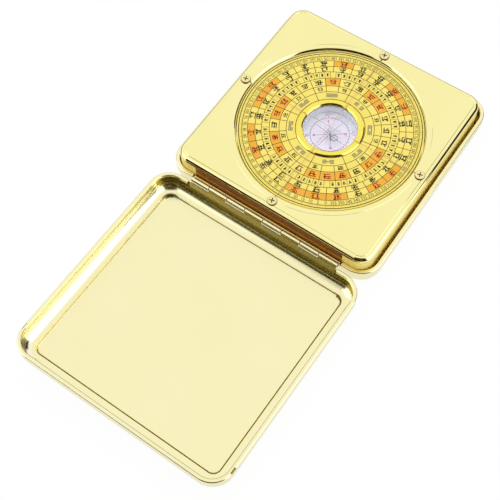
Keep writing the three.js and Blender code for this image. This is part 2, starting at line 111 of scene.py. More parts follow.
# Dial, capsule and needle
DIAL_FACE = 13.35
DIAL_RADIUS = 33.85
DIAL_UNDERSIDE = 13.05
HUB_INNER = 11.25
BEZEL_INNER = 9.9
BEZEL_OUTER = 12.5
GLASS_TOP = 13.2
GLASS_BOTTOM = 12.4
GLASS_RADIUS = 10.5
ROSE_TOP = 8.75
CUP_INNER = 9.9
CUP_OUTER = 11.2
CUP_BOTTOM = 7.9
NEEDLE_Z = 11.05
NEEDLE_THICKNESS = 0.2
NEEDLE_LENGTH = 7.2
NEEDLE_DARK_END = 4.4
NEEDLE_EYE = 1.0
NEEDLE_HEADING = -54.3
LOOP_PLACE = (3.3, 1.35)
LOOP_RADIUS = 1.2
WIRE_RADIUS = 0.15
ROSE_CIRCLE = 7.15
ROSE_NORTH = 306.0

# Screws and threads
SCREW_SPREAD = 37.15
SCREW_RADIUS = 1.85
SHANK_RADIUS = 0.8
RECESS_LENGTH = 2.1
RECESS_WIDTH = 0.46
THREAD_Z = 14.22
THREAD_SPACING = 0.34
THREAD_RADIUS = 0.08


# Meshes
def shape(name, vertices, faces):
    """A plain object from vertices in millimetres."""
    mesh = bpy.data.meshes.new(name)
    mesh.from_pydata([Vector(v) * MM for v in vertices], [], faces)
    mesh.validate()
    made = bpy.data.objects.new(name, mesh)
    bpy.context.scene.collection.objects.link(made)
    return made


def move(made, x=0.0, y=0.0, z=0.0, turn=0.0):
    """Moves the mesh, in millimetres, after a turn about Z in degrees."""
    made.data.transform(Matrix.Translation(Vector((x, y, z)) * MM) @ Matrix.Rotation(math.radians(turn), 4, "Z"))
    return made


def carve(made, cut=(), add=()):
    """Joins solids to a solid and cuts others from it."""
    tools = [(tool, "UNION") for tool in add] + [(tool, "DIFFERENCE") for tool in cut]
    for tool, operation in tools:
        modifier = made.modifiers.new("carve", "BOOLEAN")
        modifier.operation = operation
        modifier.solver = "EXACT"
        modifier.object = tool
    graph = bpy.context.evaluated_depsgraph_get()
    mesh = bpy.data.meshes.new_from_object(made.evaluated_get(graph))
    made.modifiers.clear()
    made.data = mesh
    for tool, _ in tools:
        bpy.data.objects.remove(tool)
    return made


def dress(made, body, material, replaced=(), sharp=32.0):
    """Smooth shading with crisp edges, the material, and the body that the piece rides on."""
    mesh = made.data
    for face in mesh.polygons:
        face.use_smooth = True
    mesh.set_sharp_from_angle(angle=math.radians(sharp))
    weighted = made.modifiers.new("normals", "WEIGHTED_NORMAL")
    weighted.keep_sharp = True
    mesh.materials.clear()
    mesh.materials.append(material)
    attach(made, body)
    if replaced:
        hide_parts(*replaced)
    return made


def second_finish(made, material, chosen):
    """Gives another material to the faces whose centre, in millimetres, is chosen."""
    made.data.materials.append(material)
    slot = len(made.data.materials) - 1
    for face in made.data.polygons:
        if chosen(face.center / MM):
            face.material_index = slot
    return made


def rounded_loop(width, depth, corner, inset, z, steps):
    """The points of a rectangle with rounded corners, drawn in by an inset."""
    radius = max(corner - inset, 0.05)
    points = []
    for side in range(4):
        sign_x = 1 if side in (0, 3) else -1
        sign_y = 1 if side < 2 else -1
        for step in range(steps + 1):
            angle = (side + step / steps) * math.pi / 2
            x = sign_x * (width / 2 - inset - radius) + radius * math.cos(angle)
            y = sign_y * (depth / 2 - inset - radius) + radius * math.sin(angle)
            points.append((x, y, z))
    return points


def lofted(name, width, depth, corner, levels, steps=14):
    """A solid through a list of (inset, z) levels, closed flat at both ends."""
    loops = [rounded_loop(width, depth, corner, inset, z, steps) for inset, z in levels]
    count = len(loops[0])
    vertices = [point for loop in loops for point in loop]
    faces = [tuple(range(count - 1, -1, -1))]
    for level in range(len(loops) - 1):
        low = level * count
        for i in range(count):
            j = (i + 1) % count
            faces.append((low + i, low + j, low + count + j, low + count + i))
    last = (len(loops) - 1) * count
    faces.append(tuple(range(last, last + count)))
    return shape(name, vertices, faces)


def turned(name, profile, steps=96):
    """A solid of revolution from a closed profile of (radius, z), run anticlockwise."""
    vertices = []
    faces = []
    spots = []
    for radius, z in profile:
        if radius == 0:
            spots.append((len(vertices), 1))
            vertices.append((0, 0, z))
            continue
        spots.append((len(vertices), steps))
        for step in range(steps):
            angle = 2 * math.pi * step / steps
            vertices.append((radius * math.cos(angle), radius * math.sin(angle), z))
    for (a, na), (b, nb) in zip(spots, spots[1:] + spots[:1]):
        for step in range(steps):
            after = (step + 1) % steps
            corners = list(dict.fromkeys((b + after % nb, b + step % nb, a + step % na, a + after % na)))
            if len(corners) > 2:
                faces.append(tuple(corners))
    return shape(name, vertices, faces)


def block(name, low, high):
    """A box between two corners, for cutting."""
    (x0, y0, z0), (x1, y1, z1) = low, high
    vertices = [(x, y, z) for z in (z0, z1) for x, y in ((x0, y0), (x1, y0), (x1, y1), (x0, y1))]
    faces = [(3, 2, 1, 0), (4, 5, 6, 7), (0, 1, 5, 4), (1, 2, 6, 5), (2, 3, 7, 6), (3, 0, 4, 7)]
    return shape(name, vertices, faces)


def extruded_x(name, outline, start, end):
    """A solid along X from an outline of (y, z), run anticlockwise seen from +X."""
    count = len(outline)
    vertices = [(start, y, z) for y, z in outline] + [(end, y, z) for y, z in outline]
    faces = [tuple(range(count - 1, -1, -1)), tuple(range(count, 2 * count))]
    faces += [(i, (i + 1) % count, count + (i + 1) % count, count + i) for i in range(count)]
    return shape(name, vertices, faces)


def arc(centre_a, centre_b, radius, start, end, steps):
    """Points of an arc between two angles in degrees."""
    angles = [math.radians(start + (end - start) * k / steps) for k in range(steps + 1)]
    return [(centre_a + radius * math.cos(angle), centre_b + radius * math.sin(angle)) for angle in angles]


def curve_in(start, end, steps):
    """Levels of a soft step from one (inset, z) to another."""
    levels = []
    for k in range(1, steps):
        t = k / steps
        soft = t * t * (3 - 2 * t)
        levels.append((start[0] + (end[0] - start[0]) * t, start[1] + (end[1] - start[1]) * soft))
    return levels


# Materials
def noise(tree, scale, detail=4.0):
    place = tree.nodes.new("ShaderNodeTexCoord")
    texture = tree.nodes.new("ShaderNodeTexNoise")
    texture.inputs["Scale"].default_value = scale
    texture.inputs["Detail"].default_value = detail
    tree.links.new(place.outputs["Object"], texture.inputs["Vector"])
    return texture.outputs["Fac"]


def spread(tree, value, low, high):
    """Spreads the middle of a noise, from 0.3 to 0.7, over a range."""
    span = tree.nodes.new("ShaderNodeMapRange")
    span.inputs["From Min"].default_value = 0.3
    span.inputs["From Max"].default_value = 0.7
    span.inputs["To Min"].default_value = low
    span.inputs["To Max"].default_value = high
    tree.links.new(value, span.inputs["Value"])
    return span.outputs["Result"]


def material(name, colour, second, rough, metallic=0.0, grain=60.0, bump=0.0, bump_grain=900.0, shine=0.5):
    """Two near colours blended by a soft noise, uneven roughness and a fine bump."""
    made = bpy.data.materials.new(name)
    made.use_nodes = True
    tree = made.node_tree
    shader = tree.nodes["Principled BSDF"]
    shader.inputs["Metallic"].default_value = metallic
    shader.inputs["Specular IOR Level"].default_value = shine
    blend = tree.nodes.new("ShaderNodeMix")
    blend.data_type = "RGBA"
    blend.inputs["A"].default_value = (*colour, 1.0)
    blend.inputs["B"].default_value = (*second, 1.0)
    tree.links.new(spread(tree, noise(tree, grain), 0.0, 1.0), blend.inputs["Factor"])
    tree.links.new(blend.outputs["Result"], shader.inputs["Base Color"])
    low, high = rough
    tree.links.new(spread(tree, noise(tree, grain * 3.1, 6.0), low, high), shader.inputs["Roughness"])
    if bump:
        lift = tree.nodes.new("ShaderNodeBump")
        lift.inputs["Strength"].default_value = bump
        lift.inputs["Distance"].default_value = 0.00004
        tree.links.new(noise(tree, bump_grain, 5.0), lift.inputs["Height"])
        tree.links.new(lift.outputs["Normal"], shader.inputs["Normal"])
    return made


def clear_glass():
    """Glass that lets the light through to the cup below."""
    made = bpy.data.materials.new("window_glass")
    made.use_nodes = True
    tree = made.node_tree
    shader = tree.nodes["Principled BSDF"]
    shader.inputs["Base Color"].default_value = (0.97, 0.98, 1.0, 1.0)
    shader.inputs["Roughness"].default_value = 0.0
    shader.inputs["IOR"].default_value = 1.45
    shader.inputs["Transmission Weight"].default_value = 1.0
    through = tree.nodes.new("ShaderNodeBsdfTransparent")
    through.inputs["Color"].default_value = (0.96, 0.97, 1.0, 1.0)
    path = tree.nodes.new("ShaderNodeLightPath")
    mix = tree.nodes.new("ShaderNodeMixShader")
    tree.links.new(path.outputs["Is Shadow Ray"], mix.inputs["Fac"])
    tree.links.new(shader.outputs["BSDF"], mix.inputs[1])
    tree.links.new(through.outputs["BSDF"], mix.inputs[2])
    tree.links.new(mix.outputs["Shader"], tree.nodes["Material Output"].inputs["Surface"])
    return made


case_metal = material(
    "champagne_metal", (0.945, 0.885, 0.53), (0.935, 0.87, 0.505), (0.19, 0.22), 1.0, 45.0, 0.03, 1400.0,
)
mirror_gold = material(
    "mirror_gold", (0.955, 0.885, 0.43), (0.945, 0.865, 0.40), (0.02, 0.05), 1.0, 40.0, 0.02, 500.0,
)
gold_side = material("gold_side", (0.98, 0.80, 0.26), (0.96, 0.77, 0.22), (0.50, 0.58), 0.3, 40.0, 0.02, 500.0)
well_gold = material("well_gold", (0.96, 0.88, 0.44), (0.94, 0.85, 0.40), (0.35, 0.45), 0.4, 40.0, 0.02, 500.0)
# Dark olive metal for the lid's hinge-side wall, the lid leaf's inner face and the dents: painted shade.
hinge_shade = material("hinge_shade", (0.42, 0.335, 0.085), (0.36, 0.285, 0.07), (0.24, 0.30), 1.0, 60.0, 0.02, 500.0)
# Dark brown for the plate's hinge-side wall: painted shade.
hinge_painted_shade = material(
    "hinge_painted_shade", (0.25, 0.088, 0.014), (0.19, 0.06, 0.007), (0.35, 0.50), 0.4, 320.0, 0.02, 500.0,
)
# Lighter amber low on that wall: painted light.
hinge_painted_light = material("hinge_painted_light", (0.68, 0.31, 0.022), (0.58, 0.25, 0.016), (0.35, 0.50), 0.4, 320.0, 0.02, 500.0)
# Paler champagne for the lid's inner walls: a painted highlight.
lid_wall_painted_highlight = material("lid_wall_painted_highlight", (0.955, 0.915, 0.70), (0.945, 0.90, 0.67), (0.19, 0.22), 1.0, 45.0, 0.03, 1400.0)
# Dark olive for the lid's panel crease and the lip's inner edge: painted shade.
painted_crease_shade = material("painted_crease_shade", (0.42, 0.36, 0.11), (0.38, 0.32, 0.09), (0.25, 0.32), 1.0, 60.0, 0.02, 500.0)
bezel_gold = material("bezel_gold", (0.96, 0.82, 0.155), (0.94, 0.79, 0.135), (0.04, 0.09), 1.0, 90.0, 0.03, 900.0)
screw_steel = material("screw_metal", (0.92, 0.82, 0.40), (0.88, 0.77, 0.36), (0.14, 0.22), 1.0, 300.0, 0.08, 2500.0)
# Dark brown for the screw heads' rims and cross recesses: painted shade.
screw_painted_shade = material("screw_painted_shade", (0.26, 0.13, 0.06), (0.20, 0.10, 0.045), (0.4, 0.5), 0.6, 300.0)
pin_steel = material("pin_steel", (0.78, 0.74, 0.62), (0.72, 0.68, 0.56), (0.20, 0.32), 1.0, 300.0, 0.1, 2500.0)
print_yellow = material(
    "print_yellow", (0.85, 0.70, 0.155), (0.81, 0.66, 0.135), (0.35, 0.5), 0.0, 120.0, 0.04, 2500.0, shine=0.2,
)
print_orange = material(
    "print_orange", (0.78, 0.41, 0.045), (0.74, 0.37, 0.035), (0.35, 0.5), 0.0, 200.0, 0.04, 2500.0, shine=0.2,
)
print_red = material("print_red", (0.42, 0.035, 0.004), (0.36, 0.03, 0.004), (0.4, 0.55), 0.0, 900.0, shine=0.2)
print_black = material(
    "print_black", (0.030, 0.026, 0.016), (0.045, 0.038, 0.022), (0.4, 0.55), 0.0, 900.0, shine=0.2,
)
print_grey = material("print_grey", (0.22, 0.20, 0.11), (0.26, 0.24, 0.13), (0.4, 0.55), 0.0, 900.0, shine=0.2)
capsule_white = material(
    "capsule_white", (0.94, 0.95, 1.0), (0.92, 0.93, 0.98), (0.35, 0.5), 0.0, 200.0, 0.03, 3000.0,
)
rose_paper = material("rose_paper", (0.93, 0.92, 0.99), (0.91, 0.90, 0.97), (0.4, 0.55), 0.0, 200.0, 0.03, 3000.0)
rose_blush = material("rose_blush", (0.92, 0.85, 0.95), (0.90, 0.82, 0.93), (0.4, 0.55), 0.0, 300.0, 0.03, 3000.0)
rose_pink = material("rose_pink", (0.66, 0.24, 0.40), (0.62, 0.21, 0.36), (0.4, 0.55), 0.0, 900.0)
rose_mauve = material("rose_mauve", (0.26, 0.14, 0.20), (0.30, 0.17, 0.24), (0.4, 0.55), 0.0, 900.0)
rose_grey = material("rose_grey", (0.05, 0.045, 0.07), (0.07, 0.06, 0.09), (0.4, 0.55), 0.0, 900.0)
needle_dark = material("needle_blue", (0.035, 0.04, 0.075), (0.05, 0.055, 0.09), (0.3, 0.4), 0.4, 900.0)
needle_pale = material("needle_pale", (0.74, 0.74, 0.82), (0.70, 0.70, 0.78), (0.4, 0.5), 0.0, 900.0)
loop_steel = material("loop_steel", (0.22, 0.23, 0.26), (0.28, 0.29, 0.32), (0.25, 0.35), 0.5, 900.0)
cap_brass = material("cap_brass", (0.80, 0.76, 0.74), (0.76, 0.72, 0.70), (0.3, 0.4), 0.3, 900.0)
thread_fibre = material("thread_fibre", (0.66, 0.33, 0.20), (0.58, 0.27, 0.15), (0.45, 0.6), 0.0, 3000.0, 0.5, 6000.0)
carrier_black = material(
    "carrier_plastic", (0.03, 0.026, 0.02), (0.04, 0.034, 0.026), (0.45, 0.6), 0.0, 200.0, 0.05, 3000.0,
)
foam = material("foam_tape", (0.03, 0.03, 0.03), (0.05, 0.05, 0.05), (0.85, 0.95), 0.0, 900.0, 0.6, 2500.0)
glass = clear_glass()


# Case: two pressed shells
def shell(name, height, step):
    """A pressed sheet with a hemmed lip; its middle panel is pressed in by a step."""
    start = EDGE_RADIUS + PANEL_BORDER
    levels = []
    if step:
        levels.append((start + step + 1.0, step))
        levels.append((start + step, step))
        levels += curve_in((start + step, step), (start, 0.0), 6)
        levels.append((start, 0.0))
    else:
        levels.append((EDGE_RADIUS + 1.0, 0.0))
    levels += [(EDGE_RADIUS + a, EDGE_RADIUS + b) for a, b in arc(0, 0, EDGE_RADIUS, 270, 180, 16)]
    levels += [(LIP_ROUND + a, height - LIP_ROUND + b) for a, b in arc(0, 0, LIP_ROUND, 180, 90, 7)]
    inner = LIP_INNER_ROUND
    levels += [(LIP_WIDTH - inner + a, height - inner + b) for a, b in arc(0, 0, inner, 90, 0, 5)]
    levels.append((LIP_WIDTH, height - LIP_HEIGHT))
    levels.append((SHEET, height - LIP_HEIGHT - LIP_TAPER))
    inner = EDGE_RADIUS - SHEET
    levels += [(EDGE_RADIUS + a, EDGE_RADIUS + b) for a, b in arc(0, 0, inner, 180, 270, 16)]
    if step:
        levels.append((start, SHEET))
        levels += curve_in((start, SHEET), (start + step, SHEET + step), 6)
        levels.append((start + step, SHEET + step))
        levels.append((start + step + 1.0, SHEET + step))
    else:
        levels.append((EDGE_RADIUS + 1.0, SHEET))
    return lofted(name, CASE_WIDTH, CASE_DEPTH, CASE_CORNER, levels)


def hinge_cuts(height, side):
    """Notches for the hinge: a shallow one through the wall and a deeper one in the lip."""
    half = BARREL_LENGTH / 2 + CUT_END_GAP
    outside = CASE_DEPTH / 2 + LIP_WIDTH
    wall = CASE_DEPTH / 2 - SHEET
    inside = CASE_DEPTH / 2 - LIP_WIDTH - 0.05
    cuts = []
    for low, high, depth in ((inside, outside, CUT_DEPTH), (inside, wall, LIP_HEIGHT + LIP_TAPER + 0.05)):
        low_y, high_y = (-high, -low) if side > 0 else (low, high)
        cuts.append(block("hinge_cut", (-half, low_y, height - depth), (half, high_y, height + LIP_HEIGHT)))
    return cuts


def case_inset(x, y):
    """How far inside the case's outline a point lies, from the middle of the case."""
    across = abs(x) - CASE_WIDTH / 2 + CASE_CORNER
    along = abs(y) - CASE_DEPTH / 2 + CASE_CORNER
    reach = math.hypot(across, along) if across > 0 and along > 0 else max(across, along)
    return CASE_CORNER - reach


def to_hinge(made, tilt=0.0, half_turn=False):
    """Takes a mesh made round the hinge axis to its place."""
    matrix = Matrix.Translation(Vector(AXIS) * MM) @ Matrix.Rotation(math.radians(tilt), 4, "X")
    if half_turn:
        matrix = matrix @ Matrix.Rotation(math.pi, 4, "Z")
    made.data.transform(matrix)
    return made


tray = carve(shell("tray_shell", TRAY_HEIGHT, 0.0), cut=hinge_cuts(TRAY_HEIGHT, 1))
dress(tray, "base", case_metal, ["base_tray"])
second_finish(
    tray, gold_side,
    lambda centre: EDGE_RADIUS < centre.z < TRAY_HEIGHT - 0.3 and case_inset(centre.x, centre.y) > SHEET - 0.1,
)


def inner_wall(centre, reach):
    """True on the lid's inner surface, from under the lip down to where the bend has come in too far."""
    out = EDGE_RADIUS - case_inset(centre.x, centre.y)
    down = max(EDGE_RADIUS - centre.z, 0.0)
    return out > reach and math.hypot(out, down) < EDGE_RADIUS - SHEET / 2 and centre.z < LID_HEIGHT - LIP_HEIGHT


def hinge_side_wall(centre):
    return centre.y > CASE_DEPTH / 2 - 0.75 * CASE_CORNER and inner_wall(centre, 3.3)


def other_wall(centre):
    return centre.y < CASE_DEPTH / 2 - CASE_CORNER and inner_wall(centre, 1.6)


def panel_crease(centre):
    return EDGE_RADIUS < case_inset(centre.x, centre.y) and SHEET + 0.03 < centre.z < SHEET + PANEL_STEP - 0.03


def lip_edge(centre):
    """True on the rounded inner edge of the lid's lip, at the front and on the right."""
    rounded = LIP_WIDTH - LIP_INNER_ROUND < case_inset(centre.x, centre.y) < LIP_WIDTH
    front = centre.y < -CASE_DEPTH / 2 + CASE_CORNER
    right = centre.x > 0 and centre.y < CASE_DEPTH / 2 - CASE_CORNER
    return rounded and centre.z > LID_HEIGHT - LIP_INNER_ROUND and (front or right)


def in_dent(centre):
    deep = 0.1 < case_inset(centre.x, centre.y) < DENT_DEPTH + 0.05
    return deep and abs(centre.y - DENT_Y) < DENT_LENGTH / 2 + 0.05 and centre.z > LID_HEIGHT - 0.75


lid = carve(shell("lid_pressed", LID_HEIGHT, PANEL_STEP), cut=hinge_cuts(LID_HEIGHT, -1))
dents = []
for sign in (-1, 1):
    x_low, x_high = sorted((sign * (CASE_WIDTH / 2 - DENT_DEPTH), sign * (CASE_WIDTH / 2 + DENT_DEPTH)))
    low = (x_low, DENT_Y - DENT_LENGTH / 2, LID_HEIGHT - 0.7)
    high = (x_high, DENT_Y + DENT_LENGTH / 2, LID_HEIGHT + 0.7)
    dents.append(block("dent", low, high))
carve(lid, cut=dents)
dress(lid, "lid", case_metal, ["lid_shell"])
# Painted highlight on the lid's inner walls; painted shade on the hinge-side wall, the panel crease, the lip's inner
# edge and the dents.
for look, chosen in (
    (lid_wall_painted_highlight, other_wall), (hinge_shade, hinge_side_wall), (painted_crease_shade, panel_crease),
    (painted_crease_shade, lip_edge), (hinge_shade, in_dent),
):
    second_finish(lid, look, chosen)
move(lid, 0.0, -HINGE_OFFSET - CASE_DEPTH / 2, -HALF_SEAM - LID_HEIGHT)
to_hinge(lid, OPEN_TILT)


# Hinge: leaves with rolled knuckles on a pin
def hinge_leaf(name):
    """A flat leaf with every second knuckle rolled from its upper edge, bored for the pin."""
    near = HINGE_OFFSET + SHEET + 0.05
    far = near + LEAF_THICKNESS
    middle = LEAF_TOP - LEAF_ROUND
    top = arc(far - LEAF_ROUND, middle, LEAF_ROUND, 0, 90, 5) + arc(near + LEAF_ROUND, middle, LEAF_ROUND, 90, 180, 5)
    leaf = extruded_x(name, [(near, LEAF_BOTTOM), (far, LEAF_BOTTOM)] + top, -BARREL_LENGTH / 2, BARREL_LENGTH / 2)
    pitch = BARREL_LENGTH / KNUCKLES
    # The barrel's round, open where the leaf's edge runs into it
    outline = arc(0, 0, BARREL_RADIUS, -28.3, 307.9, 40) + [(far, -0.75), (far, -0.45)]
    knuckles = []
    for k in range(0, KNUCKLES, 2):
        start = -BARREL_LENGTH / 2 + k * pitch + KNUCKLE_GAP / 2
        knuckles.append(extruded_x("knuckle", outline, start, start + pitch - KNUCKLE_GAP))
    bore = extruded_x("bore", arc(0, 0, PIN_BORE, 0, 348.75, 31), -BARREL_LENGTH, BARREL_LENGTH)
    carve(leaf, add=knuckles)
    return carve(leaf, cut=[bore])


dress(to_hinge(hinge_leaf("tray_hinge_leaf")), "base", case_metal, ["base_hinge_leaf"])
lid_leaf = to_hinge(hinge_leaf("lid_hinge_leaf_rolled"), OPEN_TILT, True)
dress(lid_leaf, "lid", case_metal, ["lid_hinge_leaf"])
# The leaf's inner face below the pin gets a painted shade.
second_finish(lid_leaf, hinge_shade, lambda centre: centre.y < AXIS[1] - 1.1 and centre.z < AXIS[2])


# Plate: mirror-gold cover with the dial's well
def at_plate(made, x=0.0, y=0.0, turn=0.0):
    return move(made, PLATE_CENTRE[0] + x, PLATE_CENTRE[1] + y, 0.0, turn)


SCREWS = [
    ("left", -SCREW_SPREAD, 0.0), ("right", SCREW_SPREAD, 0.0),
    ("front", 0.0, SCREW_SPREAD), ("hinge_side", 0.0, -SCREW_SPREAD),
]


def rod(name, radius, bottom, top):
    return turned(name, [(0, bottom), (radius, bottom), (radius, top), (0, top)], 24)


def gold_plate():
    """The hollow cover with its feet, screw bosses and round well, and the fine lines cut in it."""
    sunk = 0.03
    levels = [(0.0, PLATE_BOTTOM)]
    levels += [(PLATE_EDGE + a, PLATE_TOP - sunk - PLATE_EDGE + b) for a, b in arc(0, 0, PLATE_EDGE, 180, 94, 16)]
    for inset, drop in ((0.02, sunk), (0.1, 0.08), (0.2, 0.0), (0.4, 0.0)):
        levels.append((PLATE_EDGE + inset, PLATE_TOP - drop))
    cover = lofted("gold_plate_cover", PLATE_SIZE, PLATE_SIZE, PLATE_CORNER, levels)
    inside = [(PLATE_WALL, PLATE_BOTTOM - 1.8), (PLATE_WALL, PLATE_UNDERSIDE)]
    hollow = lofted("hollow", PLATE_SIZE, PLATE_SIZE, PLATE_CORNER, inside)
    solids = [turned("well", [
        (0, HUB_WELL_BOTTOM), (HUB_WELL_OUTER, HUB_WELL_BOTTOM), (HUB_WELL_OUTER, WELL_BOTTOM),
        (WELL_OUTER, WELL_BOTTOM), (WELL_OUTER, INSIDE_TOP), (0, INSIDE_TOP),
    ])]
    for _, x, y in SCREWS:
        solids.append(move(rod("boss", BOSS_RADIUS, BOSS_BOTTOM, INSIDE_TOP), x, y))
    for sign_x in (-1, 1):
        for sign_y in (-1, 1):
            foot = rod("foot", FOOT_RADIUS, PLATE_BOTTOM, INSIDE_TOP)
            solids.append(move(foot, FOOT_SPREAD * sign_x, FOOT_SPREAD * sign_y))
    carve(cover, cut=[hollow])
    carve(cover, add=solids)
    above = 16.5
    opening = arc(OPENING_ROUND, -OPENING_ROUND, OPENING_ROUND, 180, 94, 14)
    room = turned("room", [
        (0, HUB_WELL_FLOOR), (HUB_WELL_INNER, HUB_WELL_FLOOR),
        (HUB_WELL_INNER, WELL_FLOOR), (OPENING_RADIUS, WELL_FLOOR),
        *((OPENING_RADIUS + a, PLATE_TOP + b) for a, b in opening),
        (OPENING_RADIUS + OPENING_ROUND, above), (0, above),
    ], 160)
    line = turned("line", [
        (RING_LINE_RADIUS - 0.06, above - 1), (RING_LINE_RADIUS - 0.06, PLATE_TOP),
        (RING_LINE_RADIUS, PLATE_TOP - sunk),
        (RING_LINE_RADIUS + 0.06, PLATE_TOP), (RING_LINE_RADIUS + 0.06, above - 1),
    ], 160)
    fine = 0.02
    edge = PLATE_SIZE / 2
    end = BARREL_LENGTH / 2
    seams = [(x - fine, x + fine, PLATE_BOTTOM - 1.0, PLATE_TOP - PLATE_EDGE) for x in (-end, end)]
    seams.append((-end, end, PAINTED_LIGHT_TOP - fine, PAINTED_LIGHT_TOP + fine))
    for x_low, x_high, z_low, z_high in seams:
        carve(cover, cut=[block("seam", (x_low, -edge - fine, z_low), (x_high, -edge + fine, z_high))])
    cuts = [room, line, rod("axle_hole", AXLE_HOLE_RADIUS, HUB_WELL_BOTTOM - 0.05, HUB_WELL_FLOOR + 0.05)]
    for _, x, y in SCREWS:
        cuts.append(move(rod("hole", SCREW_HOLE_RADIUS, BOSS_BOTTOM + 1.0, 16.0), x, y))
    for x, y in ((SCREW_SPREAD, GROOVE_HALF_WIDTH), (GROOVE_HALF_WIDTH, SCREW_SPREAD)):
        cuts.append(block("groove", (-x, -y, PLATE_TOP - GROOVE_DEPTH), (x, y, PLATE_TOP + GROOVE_DEPTH)))
    for cut in cuts:
        carve(cover, cut=[cut])
    return at_plate(cover)


plate = dress(gold_plate(), "base", mirror_gold, ["dial_plate"], 24.0)


def from_middle(centre):
    return math.hypot(centre.x - PLATE_CENTRE[0], centre.y - PLATE_CENTRE[1])


def outer_wall(centre):
    return centre.z < PLATE_TOP - 0.8 * PLATE_EDGE and math.hypot(centre.x, centre.y) > OPENING_RADIUS + 1.5


def well_wall(centre):
    """True on the wall of the dial's well, between its floor and the rounded opening."""
    return WELL_FLOOR + 0.05 < centre.z < PLATE_TOP - 0.75 and abs(from_middle(centre) - OPENING_RADIUS) < 0.4


def hinge_side(centre, top):
    return centre.y < -PLATE_SIZE / 2 - 0.6 and centre.z < top and abs(centre.x) < BARREL_LENGTH / 2


# Satin finishes on the outer and well walls; painted shade on the hinge-side wall, with painted light on its lower
# part.
for look, chosen in (
    (gold_side, outer_wall), (well_gold, well_wall),
    (hinge_painted_shade, lambda centre: hinge_side(centre, PLATE_TOP - 0.6 * PLATE_EDGE)),
    (hinge_painted_light, lambda centre: hinge_side(centre, PAINTED_LIGHT_TOP)),
):
    second_finish(plate, look, chosen)


# Screws and cross threads
def screw(name):
    """A pan head screw with a cross recess."""
    low = PLATE_TOP + 0.05
    top = low + 0.55
    profile = [(0, PLATE_TOP - 5), (SHANK_RADIUS, PLATE_TOP - 5), (SHANK_RADIUS, low)]
    profile += [(SCREW_RADIUS - 0.08, low), (SCREW_RADIUS, low + 0.08)]
    profile += [(SCREW_RADIUS - 0.3 + a, top - 0.33 + b) for a, b in arc(0, 0, 0.3, 0, 84, 8)]
    profile += [(1.0, top - 0.01), (0.5, top), (0, top)]
    head = turned(name, profile, 48)
    cuts = []
    for turn in (18, 108):
        slot = lofted("slot", RECESS_LENGTH, RECESS_WIDTH, 0.1, [(0.1, top - 0.5), (0.0, top + 0.3)], 3)
        cuts.append(move(slot, turn=turn))
    return carve(head, cut=cuts)


for where, x, y in SCREWS:
    head = at_plate(screw(f"screw_{where}"), x, y)
    dress(head, "base", screw_steel, [f"thread_screw_{where}"], 35.0)
    axis = (x, y + PLATE_CENTRE[1])
    # The head's rim and its cross recess get a painted shade.
    second_finish(head, screw_painted_shade, lambda centre: (
        PLATE_TOP < centre.z < PLATE_TOP + 0.5 or math.dist(centre.xy, axis) > SCREW_RADIUS - 0.19
    ))


def strand(name, height, turn):
    half = SCREW_SPREAD - 1.0
    outline = arc(0, height, THREAD_RADIUS, 0, 337.5, 15)
    return at_plate(extruded_x(name, outline, -half, half), turn=turn)


dress(strand("thread_across", THREAD_Z, 0), "base", thread_fibre, ["cross_thread_across"])
dress(strand("thread_along", THREAD_Z + THREAD_SPACING, 90), "base", thread_fibre, ["cross_thread_along"])


# Print: thin raised layers of ink, gathered as closed prisms
class Ink:
    def __init__(self, bottom, top):
        self.bottom = bottom
        self.top = top
        self.vertices = []
        self.faces = []

    def prism(self, outline):
        start = len(self.vertices)
        count = len(outline)
        self.vertices += [(x, y, self.bottom) for x, y in outline] + [(x, y, self.top) for x, y in outline]
        self.faces.append(tuple(range(start + count - 1, start - 1, -1)))
        self.faces.append(tuple(range(start + count, start + 2 * count)))
        for i in range(count):
            j = (i + 1) % count
            self.faces.append((start + i, start + j, start + count + j, start + count + i))

    def sector(self, inner, outer, low, high):
        """A cell between two radii and two angles in degrees, in narrow pieces."""
        steps = max(1, math.ceil((high - low) / 3))
        for k in range(steps):
            a = math.radians(low + (high - low) * k / steps)
            b = math.radians(low + (high - low) * (k + 1) / steps)
            self.prism([polar(inner, a), polar(outer, a), polar(outer, b), polar(inner, b)])

    def circle(self, radius, width, steps=120):
        start = len(self.vertices)
        inner, outer = radius - width / 2, radius + width / 2
        for r, z in ((inner, self.bottom), (outer, self.bottom), (outer, self.top), (inner, self.top)):
            for k in range(steps):
                self.vertices.append((*polar(r, 2 * math.pi * k / steps), z))
        for side in range(4):
            a = start + side * steps
            b = start + ((side + 1) % 4) * steps
            for k in range(steps):
                n = (k + 1) % steps
                self.faces.append((a + k, a + n, b + n, b + k))

    def bar(self, centre, length, width, angle, taper=1.0):
        """A bar round a point, along an angle in radians; its far end is narrower by a taper."""
        c, s = math.cos(angle), math.sin(angle)
        half, near, far = length / 2, width / 2, width * taper / 2
        corners = ((-half, -near), (half, -far), (half, far), (-half, near))
        self.prism([(centre[0] + u * c - v * s, centre[1] + u * s + v * c) for u, v in corners])

    def mesh(self, name):
        return at_plate(shape(name, self.vertices, self.faces))


def ink_on(surface, thickness):
    """Ink that starts a hundredth below a surface, so that no gap shows."""
    return Ink(surface - 0.01, surface + thickness)


def polar(radius, angle):
    return radius * math.cos(angle), radius * math.sin(angle)


def on_dial(radius, angle, right, up):
    """A point near a dial place: right and up as read with the top towards the centre."""
    c, s = math.cos(angle), math.sin(angle)
    x, y = polar(radius - up, angle)
    return x - right * s, y + right * c


